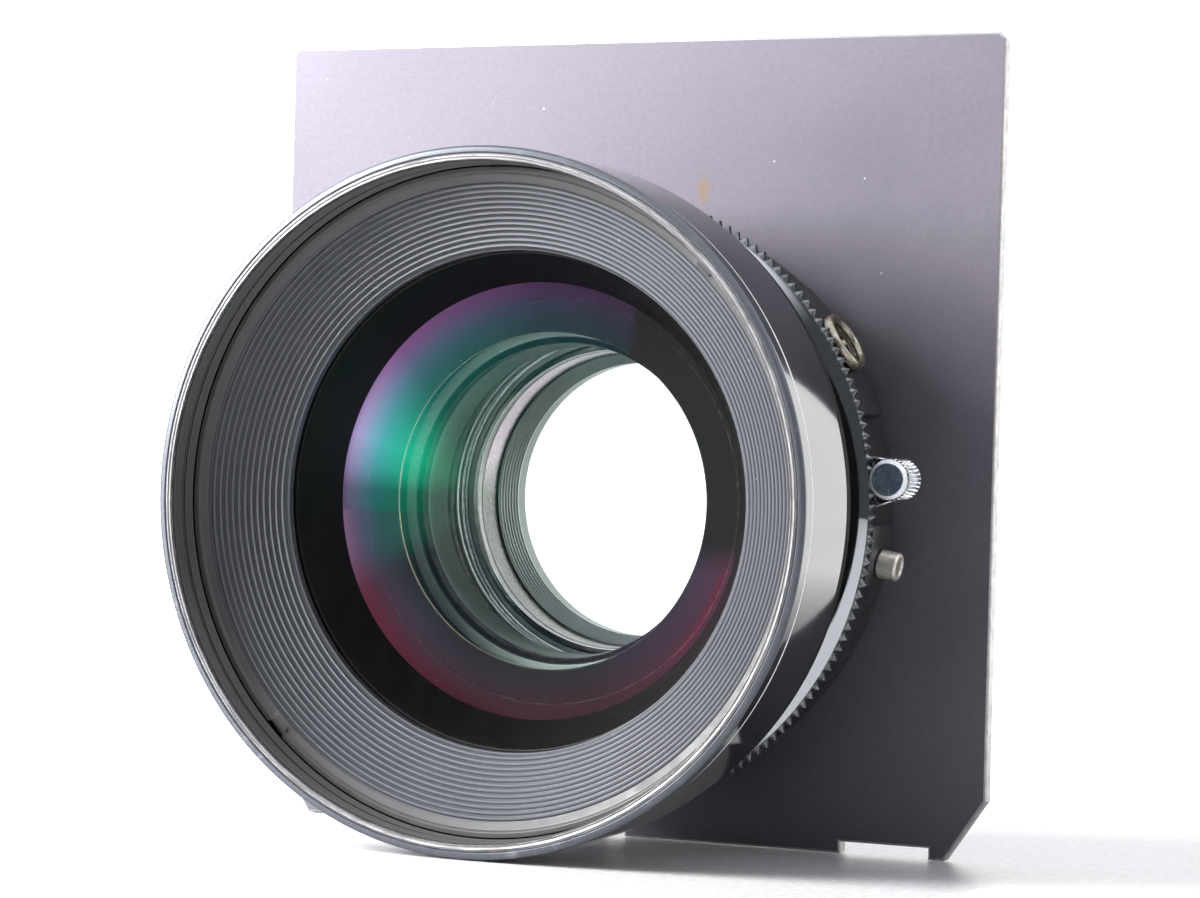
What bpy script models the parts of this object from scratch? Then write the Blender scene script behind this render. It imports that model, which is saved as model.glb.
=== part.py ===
"""Large-format camera lens in a leaf shutter, bolted to its flat lens board.

Everything on the lens is built in the lens frame: X to the right, Y up and Z forwards along the optical
axis, seen from the front, with Z = 0 on the front face of the board. The empty lens_axis turns that frame
so that the lens looks along -Y and the board stands upright on the ground at Z = 0.
"""
import math

import bmesh
import bpy

MM = 0.001

# Driving dimensions, millimetres
BOARD_WIDTH = 96.0
BOARD_HEIGHT = 99.0
BOARD_THICKNESS = 2.2
AXIS_HEIGHT = 41.84          # optical axis above the bottom edge of the board
CORNER_CHAMFER = (5.0, 7.4)  # along the bottom edge, up the side
NOTCH_DEPTH = 1.4
SIDE_NOTCH = (29.9, 41.0)    # distance of its two sides from the middle
CENTRE_NOTCH = 1.5           # half width
TOP_CHAMFER = 0.8
HOLE_RADIUS = 21.0           # opening in the board for the shutter thread
JAM_NUT_RADIUS = 25.5
JAM_NUT_DEPTH = 2.6

GAP = 0.3                    # clearance between pieces that touch
RIM_RADIUS = 40.2
BELL_RADIUS = 39.5
FRONT_REACH = 44.3           # rim in front of the board face
REAR_REACH = 13.0            # rear cell behind the board face
CASE_RADIUS = 35.6
CASE_BORE = 34.2
CASE_DEPTH = 11.2
CASE_FLOOR = 2.3
NECK_REACH = 8.3             # threaded neck behind the board face
TUBE_RADIUS = 20.7           # threaded neck through the board
TUBE_BORE = 19.4
OPTICAL_RADIUS = 19.9        # the blades rest outside this

COVER_THICKNESS = 0.6
FRONT_TUBE_RADIUS = 21.4     # tube in front of the cover, which the levers and the index ring run on
FRONT_TUBE_BORE = 20.2
FRONT_TUBE_REACH = 16.9
SCREW_ORBIT = 32.5
SCREW_RADIUS = 1.3

TOOTH_COUNT = 176
TOOTH_TIP = 38.1
TOOTH_ROOT = 37.3
SPEED_RING_BACK = 13.5
SPEED_RING_FRONT = 15.6
SPEED_RING_BORE = 24.1
INDEX_RING_RADIUS = 30.0

LEVER_BACK = 12.4
LEVER_FRONT = 13.2
LEVER_HUB = (21.8, 26.5)     # inner and outer radius of the part that runs on the front tube
LEVER_END_RADIUS = 2.2
LEVER_HALF_ANGLE = 22.0
KNOB_ORBIT = 41.0            # knob centre from the optical axis
KNOB_RADIUS = 2.5
KNOB_FRONT = 18.4

BARREL_FRONT = 41.4          # joint between the front barrel and the filter rim
THREAD_BORE = 38.5           # filter thread
BAFFLE_RADIUS = 37.6
BAFFLE_FRONT = 38.4
BAFFLE_MOUTH = 36.5
BAFFLE_THROAT = 29.06
FRONT_GLASS_RADIUS = 26.9
PAIR_RADIUS = 23.7           # the two cemented glasses behind the front glass
PAIR_STOP = 20.0             # opening of the ring that holds them
FRONT_TAIL = 9.8             # end of the front cell inside the shutter
TAIL_BORE = 18.9
REAR_CELL_FRONT = 2.9
REAR_CELL_RADIUS = 22.8
INNER_GLASS_RADIUS = 18.2
SPACER_BORE = 17.3
REAR_GLASS_RADIUS = 21.2
REAR_STOP = 19.3

SHUTTER_BLADES = 5
SHUTTER_BLADE_PIVOT = 24.0
SHUTTER_BLADE_OUTER = 32.0
IRIS_BLADES = 7
IRIS_BLADE_PIVOT = 28.0
IRIS_BLADE_OUTER = 30.0
BLADE_SWEEP = (-10.0, 120.0)
BLADE_THICKNESS = 0.15
BLADE_STEP = 0.35
BLADE_RIVET = 0.9
BLADE_RING_LEVEL = 2.6
SHUTTER_BLADE_LEVEL = 3.3
PIVOT_PLATE_LEVEL = 5.3
PIVOT_PLATE_TOP = 5.9
IRIS_BLADE_LEVEL = 6.2
APERTURE_RING_LEVEL = 8.8
APERTURE_RING_TOP = 9.3

# Places around the optical axis, degrees anticlockwise from the right, seen from the front
SYNC_ANGLE = 31.5
SYNC_LEVEL = 8.4
SYNC_BLOCK_RADIUS = 36.6       # raised block on the case that carries the sync socket
CABLE_ANGLE = -9.5
CABLE_LEVEL = 7.4
RELEASE_ANGLE = 5.2
COCKING_ANGLE = 120.0
PRESS_FOCUS_ANGLE = 165.0
APERTURE_ANGLE = 205.0

OUTER_STEPS = 48
INNER_STEPS = 32
GLASS_STEPS = 24
SMALL_STEPS = 16


# ---------------------------------------------------------------- scene and material helpers

def clear_scene():
    for item in list(bpy.data.objects):
        bpy.data.objects.remove(item, do_unlink=True)


def make_material(name, colour, roughness, metallic=0.0, alpha=1.0):
    material = bpy.data.materials.new(name)
    material.use_nodes = True
    shader = material.node_tree.nodes["Principled BSDF"]
    shader.inputs["Base Color"].default_value = (*colour, 1.0)
    shader.inputs["Roughness"].default_value = roughness
    shader.inputs["Metallic"].default_value = metallic
    shader.inputs["Alpha"].default_value = alpha
    material.diffuse_color = (*colour, alpha)
    return material


def add_object(name, bm, material, parent, sharp_angle=30.0):
    """Closes a bmesh in millimetres into a named object in metres."""
    bmesh.ops.recalc_face_normals(bm, faces=bm.faces)
    bmesh.ops.scale(bm, vec=(MM, MM, MM), verts=bm.verts)
    mesh = bpy.data.meshes.new(name)
    bm.to_mesh(mesh)
    bm.free()
    mesh.materials.append(material)
    mesh.shade_smooth()
    mesh.set_sharp_from_angle(angle=math.radians(sharp_angle))
    item = bpy.data.objects.new(name, mesh)
    bpy.context.collection.objects.link(item)
    item.parent = parent
    return item


def add_empty(name, parent=None, location=(0, 0, 0), rotation=(0, 0, 0)):
    item = bpy.data.objects.new(name, None)
    item.empty_display_size = 0.01
    bpy.context.collection.objects.link(item)
    item.parent = parent
    item.location = [value * MM for value in location]
    item.rotation_euler = [math.radians(value) for value in rotation]
    return item


def polar(radius, degrees):
    angle = math.radians(degrees)
    return (radius * math.cos(angle), radius * math.sin(angle))


# ---------------------------------------------------------------- shape helpers

def turned_mesh(outline, steps):
    """Spins a closed outline of (radius, level) points once round the Z axis."""
    bm = bmesh.new()
    corners = [bm.verts.new((radius, 0.0, level)) for radius, level in outline]
    for first, second in zip(corners, corners[1:] + corners[:1]):
        if outline[corners.index(first)][0] > 0 or outline[corners.index(second)][0] > 0:
            bm.edges.new((first, second))
    bmesh.ops.spin(bm, geom=bm.verts[:] + bm.edges[:], cent=(0, 0, 0), axis=(0, 0, 1),
                   angle=math.tau, steps=steps, use_merge=True)
    bmesh.ops.remove_doubles(bm, verts=bm.verts, dist=0.001)
    return bm


def turned(name, outline, material, parent, steps=OUTER_STEPS):
    return add_object(name, turned_mesh(outline, steps), material, parent)


def sheet_mesh(loops, back, front):
    """A flat plate between two levels: the first loop is its outline, the others are its holes."""
    bm = bmesh.new()
    edges = []
    for loop in loops:
        corners = [bm.verts.new((x, y, back)) for x, y in loop]
        for first, second in zip(corners, corners[1:] + corners[:1]):
            edges.append(bm.edges.new((first, second)))
    bmesh.ops.triangle_fill(bm, edges=edges, use_beauty=True, use_dissolve=False, normal=(0, 0, 1))
    raised = bmesh.ops.extrude_face_region(bm, geom=bm.faces[:], use_keep_orig=True)
    moved = [part for part in raised["geom"] if isinstance(part, bmesh.types.BMVert)]
    bmesh.ops.translate(bm, vec=(0, 0, front - back), verts=moved)
    return bm


def sheet(name, loops, back, front, material, parent):
    return add_object(name, sheet_mesh(loops, back, front), material, parent)


def circle_loop(radius, steps, centre=(0.0, 0.0)):
    points = (polar(radius, 360.0 * step / steps) for step in range(steps))
    return [(centre[0] + x, centre[1] + y) for x, y in points]


def arc(radius, start, end, steps):
    return [polar(radius, start + (end - start) * step / steps) for step in range(steps + 1)]


def sector_loop(inner, outer, start, end, steps=8):
    return arc(outer, start, end, steps) + arc(inner, end, start, steps)


def hide_tool(item):
    """Marks a shape that only cuts or joins, so that it isn't a piece of its own."""
    item.hide_render = True
    item.display_type = "WIRE"
    return item


def combine(item, tool, operation):
    modifier = item.modifiers.new(f"{operation.lower()}_{tool.name}", "BOOLEAN")
    modifier.operation = operation
    modifier.solver = "EXACT"
    modifier.object = hide_tool(tool)


# ---------------------------------------------------------------- lens board

def build_board(material, lens):
    half = BOARD_WIDTH / 2
    bottom = -AXIS_HEIGHT
    top = BOARD_HEIGHT - AXIS_HEIGHT
    chamfer_x, chamfer_y = CORNER_CHAMFER
    right_half = [
        (CENTRE_NOTCH, bottom + NOTCH_DEPTH),
        (CENTRE_NOTCH, bottom),
        (SIDE_NOTCH[0], bottom),
        (SIDE_NOTCH[0], bottom + NOTCH_DEPTH),
        (SIDE_NOTCH[1], bottom + NOTCH_DEPTH),
        (SIDE_NOTCH[1], bottom),
        (half - chamfer_x, bottom),
        (half, bottom + chamfer_y),
        (half, top - TOP_CHAMFER),
        (half - TOP_CHAMFER, top),
    ]
    left_half = [(-x, y) for x, y in reversed(right_half)]
    loops = [right_half + left_half, circle_loop(HOLE_RADIUS, OUTER_STEPS)]
    sheet("lens_board", loops, -BOARD_THICKNESS, 0.0, material, lens)


def build_jam_nut(material, lens):
    front = -BOARD_THICKNESS - GAP
    slot_depth = 1.2
    loop = []
    for quarter in range(4):
        middle = 90.0 * quarter
        loop += arc(JAM_NUT_RADIUS, middle + 4, middle + 86, 10)
        loop += [polar(JAM_NUT_RADIUS - slot_depth, middle + end) for end in (86, 94)]
    bore = circle_loop(TUBE_RADIUS + GAP, OUTER_STEPS)
    sheet("jam_nut", [loop, bore], front - JAM_NUT_DEPTH, front, material, lens)


# ---------------------------------------------------------------- shutter case

def build_case(material, lens):
    """A turned shell with its rear neck, two raised blocks for the sockets and the lever slots."""
    outline = [
        (CASE_RADIUS, CASE_DEPTH),
        (CASE_RADIUS, GAP),
        (TUBE_RADIUS, GAP),
        (TUBE_RADIUS, -NECK_REACH),
        (TUBE_BORE, -NECK_REACH),
        (TUBE_BORE, CASE_FLOOR),
        (CASE_BORE, CASE_FLOOR),
        (CASE_BORE, CASE_DEPTH),
    ]
    case = turned("shutter_case", outline, material, lens)

    def block(name, middle, half_angle, outer, back):
        loop = sector_loop(CASE_BORE + 0.4, outer, middle - half_angle, middle + half_angle, 4)
        return sheet(name, [loop], back, CASE_DEPTH - 0.1, material, lens)

    combine(case, block("tool_sync_block", SYNC_ANGLE, 14.0, SYNC_BLOCK_RADIUS, 3.2), "UNION")
    combine(case, block("tool_cable_block", CABLE_ANGLE + 1.5, 5.5, 37.0, 4.0), "UNION")

    def radial_hole(name, angle, level, radius):
        bm = turned_mesh([(0, 40), (radius, 40), (radius, 30), (0, 30)][::-1], SMALL_STEPS)
        tool = add_object(name, bm, material, lens)
        place_radial(tool, angle, level)
        return tool

    combine(case, radial_hole("tool_sync_hole", SYNC_ANGLE, SYNC_LEVEL, 2.5), "DIFFERENCE")
    combine(case, radial_hole("tool_cable_hole", CABLE_ANGLE, CABLE_LEVEL, 1.3), "DIFFERENCE")

    def slot(name, start, end, back, front):
        loop = sector_loop(CASE_BORE - 1.0, CASE_RADIUS + 1.0, start, end, 10)
        return sheet(name, [loop], back, front, material, lens)

    aperture_slot = slot("tool_aperture_slot", APERTURE_ANGLE - 5, APERTURE_ANGLE + 46,
                         APERTURE_RING_LEVEL - 0.35, APERTURE_RING_TOP + 0.45)
    press_slot = slot("tool_press_slot", PRESS_FOCUS_ANGLE - 25, PRESS_FOCUS_ANGLE + 5,
                      BLADE_RING_LEVEL - 0.15, BLADE_RING_LEVEL + 0.85)
    combine(case, aperture_slot, "DIFFERENCE")
    combine(case, press_slot, "DIFFERENCE")


def place_radial(item, angle, level):
    """Lays a shape's own Z axis along the radius at an angle, at a level in front of the board."""
    item.location = (0, 0, level * MM)
    item.rotation_mode = "ZYX"
    item.rotation_euler = (0, math.radians(90), math.radians(angle))
    item.rotation_mode = "XYZ"


def build_front_cover(material, lens):
    back = CASE_DEPTH + GAP
    outline = [
        (CASE_RADIUS, back + COVER_THICKNESS),
        (CASE_RADIUS, back),
        (FRONT_TUBE_BORE, back),
        (FRONT_TUBE_BORE, FRONT_TUBE_REACH),
        (FRONT_TUBE_RADIUS, FRONT_TUBE_REACH),
        (FRONT_TUBE_RADIUS, back + COVER_THICKNESS),
    ]
    turned("front_cover", outline, material, lens)


def build_speed_ring(material, lens):
    loop = []
    for tooth in range(TOOTH_COUNT):
        loop.append(polar(TOOTH_TIP, 360.0 * tooth / TOOTH_COUNT))
        loop.append(polar(TOOTH_ROOT, 360.0 * (tooth + 0.5) / TOOTH_COUNT))
    loops = [loop, circle_loop(SPEED_RING_BORE, OUTER_STEPS)]
    sheet("speed_ring", loops, SPEED_RING_BACK, SPEED_RING_FRONT, material, lens)


def build_index_ring(material, lens):
    """The flanged ring that keeps the speed ring on the front tube and carries its index."""
    flange_back = SPEED_RING_FRONT + GAP
    sleeve = SPEED_RING_BORE - GAP
    bore = FRONT_TUBE_RADIUS + GAP
    outline = [
        (INDEX_RING_RADIUS, FRONT_TUBE_REACH),
        (INDEX_RING_RADIUS, flange_back),
        (sleeve, flange_back),
        (sleeve, SPEED_RING_BACK),
        (bore, SPEED_RING_BACK),
        (bore, FRONT_TUBE_REACH),
    ]
    turned("index_ring", outline, material, lens, INNER_STEPS)


def build_aperture_scale(material, lens):
    inner = CASE_RADIUS + GAP
    plate_thickness = 0.5
    loop = sector_loop(inner, inner + plate_thickness, APERTURE_ANGLE - 12, APERTURE_ANGLE + 52, 16)
    sheet("aperture_scale", [loop], 3.2, 8.0, material, lens)


def build_main_spring(material, lens):
    """The flat C-shaped spring round the front tube, which drives the shutter when it is released."""
    inner = FRONT_TUBE_RADIUS + 0.5
    strip_width = 0.8
    loop = sector_loop(inner, inner + strip_width, 20.0, 340.0, 32)
    sheet("main_spring", [loop], APERTURE_RING_TOP + 0.5, CASE_DEPTH - 0.2, material, lens)


def build_cover_screws(material, lens):
    """Cheese-head screws under the speed ring, in the free angles between the two lever plates."""
    head_back = LEVER_BACK
    head_front = LEVER_FRONT - 0.1
    outline = [(0, head_front), (SCREW_RADIUS, head_front), (SCREW_RADIUS, head_back), (0, head_back)]
    for number, angle in enumerate((60.0, 210.0, 300.0), start=1):
        screw = turned(f"cover_screw_{number}", outline, material, lens, SMALL_STEPS)
        x, y = polar(SCREW_ORBIT, angle)
        screw.location = (x * MM, y * MM, 0)


# ---------------------------------------------------------------- levers and knobs

def lever_outline(angle, hub_half_angle, arm_root, flare):
    """A hub sector that runs on the front tube, with a tapered arm out to a round end."""
    hub = sector_loop(*LEVER_HUB, -hub_half_angle, hub_half_angle, 8)
    end = [(KNOB_ORBIT + x, y) for x, y in (polar(LEVER_END_RADIUS, a) for a in range(-75, 80, 25))]
    root = math.degrees(math.asin(flare / arm_root))
    arm = [polar(arm_root, -root)] + end + [polar(arm_root, root)]
    before = [point for point in hub[:9] if point[1] < -flare]
    after = [point for point in hub[:9] if point[1] > flare]
    loop = before + arm + after + hub[9:]
    turn = math.radians(angle)
    return [(x * math.cos(turn) - y * math.sin(turn), x * math.sin(turn) + y * math.cos(turn))
            for x, y in loop]


def build_knob_lever(name, angle, material, knob_material, lens):
    centre = polar(KNOB_ORBIT, angle)
    shank = 1.0
    arm_root = 30.0
    arm_half_width = 4.6
    hole = circle_loop(shank + GAP, SMALL_STEPS, centre)
    loops = [lever_outline(angle, LEVER_HALF_ANGLE, arm_root, arm_half_width), hole]
    sheet(f"{name}_lever", loops, LEVER_BACK, LEVER_FRONT, material, lens)
    seat = LEVER_FRONT + 0.15
    shank_end = LEVER_BACK - 0.1
    chamfer = 0.6
    outline = [
        (0.0, KNOB_FRONT),
        (KNOB_RADIUS - chamfer, KNOB_FRONT),
        (KNOB_RADIUS, KNOB_FRONT - chamfer),
        (KNOB_RADIUS, seat),
        (shank, seat),
        (shank, shank_end),
        (0.0, shank_end),
    ]
    knob = turned(f"{name}_knob", outline, knob_material, lens, SMALL_STEPS)
    knob.location = (centre[0] * MM, centre[1] * MM, 0)


def build_ring_lever(name, ring_outer, angle, back, front, tip, width, material, lens):
    """A thin driving ring with an arm on it that leaves the case through a slot."""
    half_root = math.degrees(math.asin(width / 2 / ring_outer))
    rest = arc(ring_outer, angle + half_root, angle + 360 - half_root, 32)
    end = [polar(tip, angle - 2.4), polar(tip + 0.6, angle), polar(tip, angle + 2.4)]
    loops = [rest + end, circle_loop(OPTICAL_RADIUS + 0.1, INNER_STEPS)]
    sheet(name, loops, back, front, material, lens)


# ---------------------------------------------------------------- blades and their plate

def build_pivot_plate(material, lens):
    """The plate between the two blade packs."""
    sheet("pivot_plate", [circle_loop(33.8, OUTER_STEPS), circle_loop(OPTICAL_RADIUS, INNER_STEPS)],
          PIVOT_PLATE_LEVEL, PIVOT_PLATE_TOP, material, lens)


def blade_angle(index, count):
    return 360.0 * index / count + 12.0


def blade_mesh(name, orbit, outer, material):
    """A crescent that rests outside the light path, drawn round its own pivot hole.

    Each blade lies on a level of its own, so the blades pass over each other without touching.
    """
    start, end = BLADE_SWEEP
    outline = sector_loop(OPTICAL_RADIUS + 0.1, outer, start, end, 10)
    loops = [[(x - orbit, y) for x, y in outline], circle_loop(BLADE_RIVET, 8)]
    bm = sheet_mesh(loops, 0.0, BLADE_THICKNESS)
    bmesh.ops.recalc_face_normals(bm, faces=bm.faces)
    bmesh.ops.scale(bm, vec=(MM, MM, MM), verts=bm.verts)
    mesh = bpy.data.meshes.new(name)
    bm.to_mesh(mesh)
    bm.free()
    mesh.materials.append(material)
    return mesh


def build_blades(pack, count, orbit, outer, level, material, lens):
    mesh = blade_mesh(f"{pack}_blade_mesh", orbit, outer, material)
    for index in range(count):
        x, y = polar(orbit, blade_angle(index, count))
        height = level + index * BLADE_STEP
        pivot = add_empty(f"{pack}_blade_pivot_{index + 1}", lens, (x, y, height),
                          (0, 0, blade_angle(index, count)))
        blade = bpy.data.objects.new(f"{pack}_blade_{index + 1}", mesh)
        bpy.context.collection.objects.link(blade)
        blade.parent = pivot


# ---------------------------------------------------------------- sockets

def build_sync_socket(metal, plastic, lens):
    """Coaxial flash terminal: a flanged shell, its insulator and the centre pin."""
    flange_back = SYNC_BLOCK_RADIUS + GAP
    flange_front = flange_back + 1.1
    shell = turned("sync_shell", [
        (3.7, flange_back + 0.6), (3.3, flange_front), (2.3, flange_front), (1.75, flange_front - 0.5),
        (1.75, 34.6), (2.2, 34.6), (2.2, flange_back), (3.7, flange_back),
    ], metal, lens, SMALL_STEPS)
    insulator = turned("sync_insulator", [
        (1.45, 36.5), (0.85, 36.5), (0.85, 34.6), (1.45, 34.6),
    ], plastic, lens, SMALL_STEPS)
    pin = turned("sync_pin", [
        (0.0, 37.5), (0.35, 37.5), (0.55, 37.2), (0.55, 34.6), (0.0, 34.6),
    ], metal, lens, SMALL_STEPS)
    for piece in (shell, insulator, pin):
        place_radial(piece, SYNC_ANGLE, SYNC_LEVEL)


def build_cable_socket(metal, steel, lens):
    """Threaded tube for a cable release, with the plunger that the cable pushes inwards."""
    socket = turned("cable_socket", [
        (1.5, 39.5), (1.05, 39.5), (1.05, 34.6), (1.2, 34.6), (1.2, 37.1), (1.7, 37.3), (1.7, 39.3),
    ], metal, lens, SMALL_STEPS)
    plunger = turned("cable_plunger", [
        (0.0, 38.4), (0.6, 38.4), (0.75, 38.2), (0.75, 34.4), (0.0, 34.4),
    ], steel, lens, SMALL_STEPS)
    for piece in (socket, plunger):
        place_radial(piece, CABLE_ANGLE, CABLE_LEVEL)


# ---------------------------------------------------------------- optics

def spherical_arc(radius, edge, apex, rings=3):
    """Points of a lens surface from its edge to its apex on the axis."""
    sag = apex - edge
    points = []
    for ring in range(rings + 1):
        r = radius * (rings - ring) / rings
        points.append((r, edge + sag * (1 - (r / radius) ** 2)))
    return points


def element(name, radius, front_edge, front_apex, back_edge, back_apex, material, lens):
    front = spherical_arc(radius, front_edge, front_apex)
    back = spherical_arc(radius, back_edge, back_apex)
    turned(name, front + back[::-1], material, lens, GLASS_STEPS)


def build_front_cell(materials, lens):
    turned("front_barrel", [
        (BELL_RADIUS, BARREL_FRONT),
        (BELL_RADIUS, 28.5),
        (38.9, 24.7),
        (30.0, 22.0),
        (28.5, 21.0),
        (28.5, FRONT_TUBE_REACH + GAP),
        (FRONT_TUBE_BORE - GAP, FRONT_TUBE_REACH + GAP),
        (FRONT_TUBE_BORE - GAP, FRONT_TAIL),
        (TAIL_BORE, FRONT_TAIL),
        (TAIL_BORE, 17.6),
        (PAIR_RADIUS + GAP, 17.6),
        (PAIR_RADIUS + GAP, 22.2),
        (FRONT_GLASS_RADIUS + GAP, 22.2),
        (FRONT_GLASS_RADIUS + GAP, 27.2),
        (30.0, 27.2),
        (30.0, 31.4),
        (BAFFLE_RADIUS + GAP, 31.4),
        (BAFFLE_RADIUS + GAP, BAFFLE_FRONT),
        (THREAD_BORE, BAFFLE_FRONT),
        (THREAD_BORE, BARREL_FRONT),
    ], materials["gloss_black"], lens)
    turned("filter_rim", [
        (RIM_RADIUS - 0.15, BARREL_FRONT + GAP),
        (RIM_RADIUS, FRONT_REACH - 0.9),
        (39.6, FRONT_REACH - 0.15),
        (39.1, FRONT_REACH),
        (THREAD_BORE, FRONT_REACH - 0.4),
        (THREAD_BORE, BARREL_FRONT + GAP),
    ], materials["satin_grey"], lens)
    turned("baffle_retainer", [
        (THREAD_BORE - GAP, BAFFLE_FRONT + GAP),
        (THREAD_BORE - GAP, BAFFLE_FRONT + 1.0),
        (BAFFLE_MOUTH + 1.0, BAFFLE_FRONT + 1.0),
        (BAFFLE_MOUTH, BAFFLE_FRONT + 0.5),
        (BAFFLE_MOUTH, BAFFLE_FRONT + GAP),
    ], materials["matte_black"], lens, INNER_STEPS)
    turned("grooved_baffle", [
        (BAFFLE_RADIUS, 31.7),
        (BAFFLE_RADIUS, BAFFLE_FRONT),
        (BAFFLE_MOUTH, BAFFLE_FRONT),
        (BAFFLE_THROAT, 32.8),
        (BAFFLE_THROAT, 31.7),
    ], materials["baffle_grey"], lens)
    turned("front_retainer", [
        (29.6, 27.5),
        (29.6, 31.3),
        (28.8, 31.3),
        (25.7, 25.4),
        (FRONT_GLASS_RADIUS, 25.4),
        (FRONT_GLASS_RADIUS, 27.5),
    ], materials["matte_black"], lens)
    glass = materials["glass"]
    element("front_element", FRONT_GLASS_RADIUS, 24.6, 30.0, 23.0, 23.5, glass, lens)
    turned("pair_retainer", [
        (PAIR_RADIUS, 21.5),
        (PAIR_RADIUS, 22.0),
        (PAIR_STOP, 22.0),
        (PAIR_STOP, 21.5),
    ], materials["brass"], lens, GLASS_STEPS)
    element("pair_crown", PAIR_RADIUS, 21.0, 21.4, 19.9, 19.3, glass, lens)
    element("pair_flint", PAIR_RADIUS, 19.6, 19.0, 17.9, 18.4, glass, lens)


def build_rear_cell(materials, lens):
    turned("rear_barrel", [
        (TUBE_BORE - GAP, REAR_CELL_FRONT),
        (TUBE_BORE - GAP, -NECK_REACH - GAP),
        (REAR_CELL_RADIUS, -NECK_REACH - GAP),
        (REAR_CELL_RADIUS, -REAR_REACH),
        (REAR_GLASS_RADIUS + GAP, -REAR_REACH),
        (REAR_GLASS_RADIUS + GAP, -9.3),
        (INNER_GLASS_RADIUS + GAP, -9.3),
        (INNER_GLASS_RADIUS + GAP, REAR_CELL_FRONT),
    ], materials["satin_black"], lens)
    element("rear_inner_element", INNER_GLASS_RADIUS, 1.5, 0.9, -2.6, -2.0, materials["glass"], lens)
    turned("rear_spacer", [
        (INNER_GLASS_RADIUS, -2.9),
        (INNER_GLASS_RADIUS, -8.9),
        (SPACER_BORE, -8.9),
        (SPACER_BORE, -2.9),
    ], materials["satin_black"], lens, GLASS_STEPS)
    element("rear_outer_element", REAR_GLASS_RADIUS, -9.6, -9.2, -11.6, -11.0, materials["glass"], lens)
    turned("rear_retainer", [
        (REAR_GLASS_RADIUS, -11.9),
        (REAR_GLASS_RADIUS, -12.8),
        (REAR_STOP, -12.8),
        (REAR_STOP, -11.9),
    ], materials["matte_black"], lens, INNER_STEPS)


# ---------------------------------------------------------------- the whole lens

def build_materials():
    return {
        "board": make_material("board_anodised", (0.20, 0.18, 0.22), 0.45, 0.6),
        "gloss_black": make_material("gloss_black", (0.012, 0.013, 0.015), 0.12),
        "satin_black": make_material("satin_black", (0.03, 0.03, 0.032), 0.4),
        "matte_black": make_material("matte_black", (0.01, 0.01, 0.011), 0.8),
        "satin_grey": make_material("satin_grey", (0.16, 0.165, 0.18), 0.4, 0.7),
        "baffle_grey": make_material("baffle_grey", (0.08, 0.085, 0.095), 0.55, 0.3),
        "chrome": make_material("chrome", (0.75, 0.77, 0.8), 0.12, 1.0),
        "nickel": make_material("warm_nickel", (0.45, 0.41, 0.34), 0.3, 1.0),
        "steel": make_material("blade_steel", (0.12, 0.12, 0.13), 0.4, 1.0),
        "brass": make_material("brass_ring", (0.55, 0.42, 0.2), 0.3, 1.0),
        "white_plastic": make_material("insulator_white", (0.7, 0.68, 0.62), 0.5),
        "glass": make_material("coated_glass", (0.55, 0.75, 0.7), 0.03, 0.0, 0.3),
    }


def build_lens():
    clear_scene()
    materials = build_materials()
    face_y = (FRONT_REACH - REAR_REACH) / 2
    lens = add_empty("lens_axis", None, (0, face_y, AXIS_HEIGHT), (90, 0, 0))

    build_board(materials["board"], lens)
    build_jam_nut(materials["satin_black"], lens)
    build_case(materials["satin_black"], lens)
    build_front_cover(materials["satin_black"], lens)
    build_speed_ring(materials["gloss_black"], lens)
    build_index_ring(materials["gloss_black"], lens)
    build_aperture_scale(materials["satin_black"], lens)
    build_main_spring(materials["steel"], lens)
    build_cover_screws(materials["steel"], lens)

    build_knob_lever("release", RELEASE_ANGLE, materials["chrome"], materials["chrome"], lens)
    build_knob_lever("cocking", COCKING_ANGLE, materials["chrome"], materials["chrome"], lens)
    build_ring_lever("press_focus_ring", 33.4, PRESS_FOCUS_ANGLE, BLADE_RING_LEVEL, BLADE_RING_LEVEL + 0.4,
                     39.6, 5.0, materials["steel"], lens)
    build_ring_lever("aperture_ring", 31.4, APERTURE_ANGLE, APERTURE_RING_LEVEL, APERTURE_RING_TOP,
                     40.4, 5.0, materials["steel"], lens)

    build_pivot_plate(materials["satin_black"], lens)
    build_blades("shutter", SHUTTER_BLADES, SHUTTER_BLADE_PIVOT, SHUTTER_BLADE_OUTER, SHUTTER_BLADE_LEVEL,
                 materials["steel"], lens)
    build_blades("iris", IRIS_BLADES, IRIS_BLADE_PIVOT, IRIS_BLADE_OUTER, IRIS_BLADE_LEVEL,
                 materials["steel"], lens)

    build_sync_socket(materials["nickel"], materials["white_plastic"], lens)
    build_cable_socket(materials["nickel"], materials["steel"], lens)
    build_front_cell(materials, lens)
    build_rear_cell(materials, lens)


build_lens()
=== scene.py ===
"""Looks of the large-format lens on its lens board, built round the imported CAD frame.

Pieces are drawn in the lens frame: X to the right, Y up and Z forwards along the optical axis, seen from
the front, with Z = 0 on the front face of the board. Outlines are in millimetres, meshes in metres.
"""

import math

import bmesh
import bpy
from mathutils import Matrix, Vector


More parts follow.
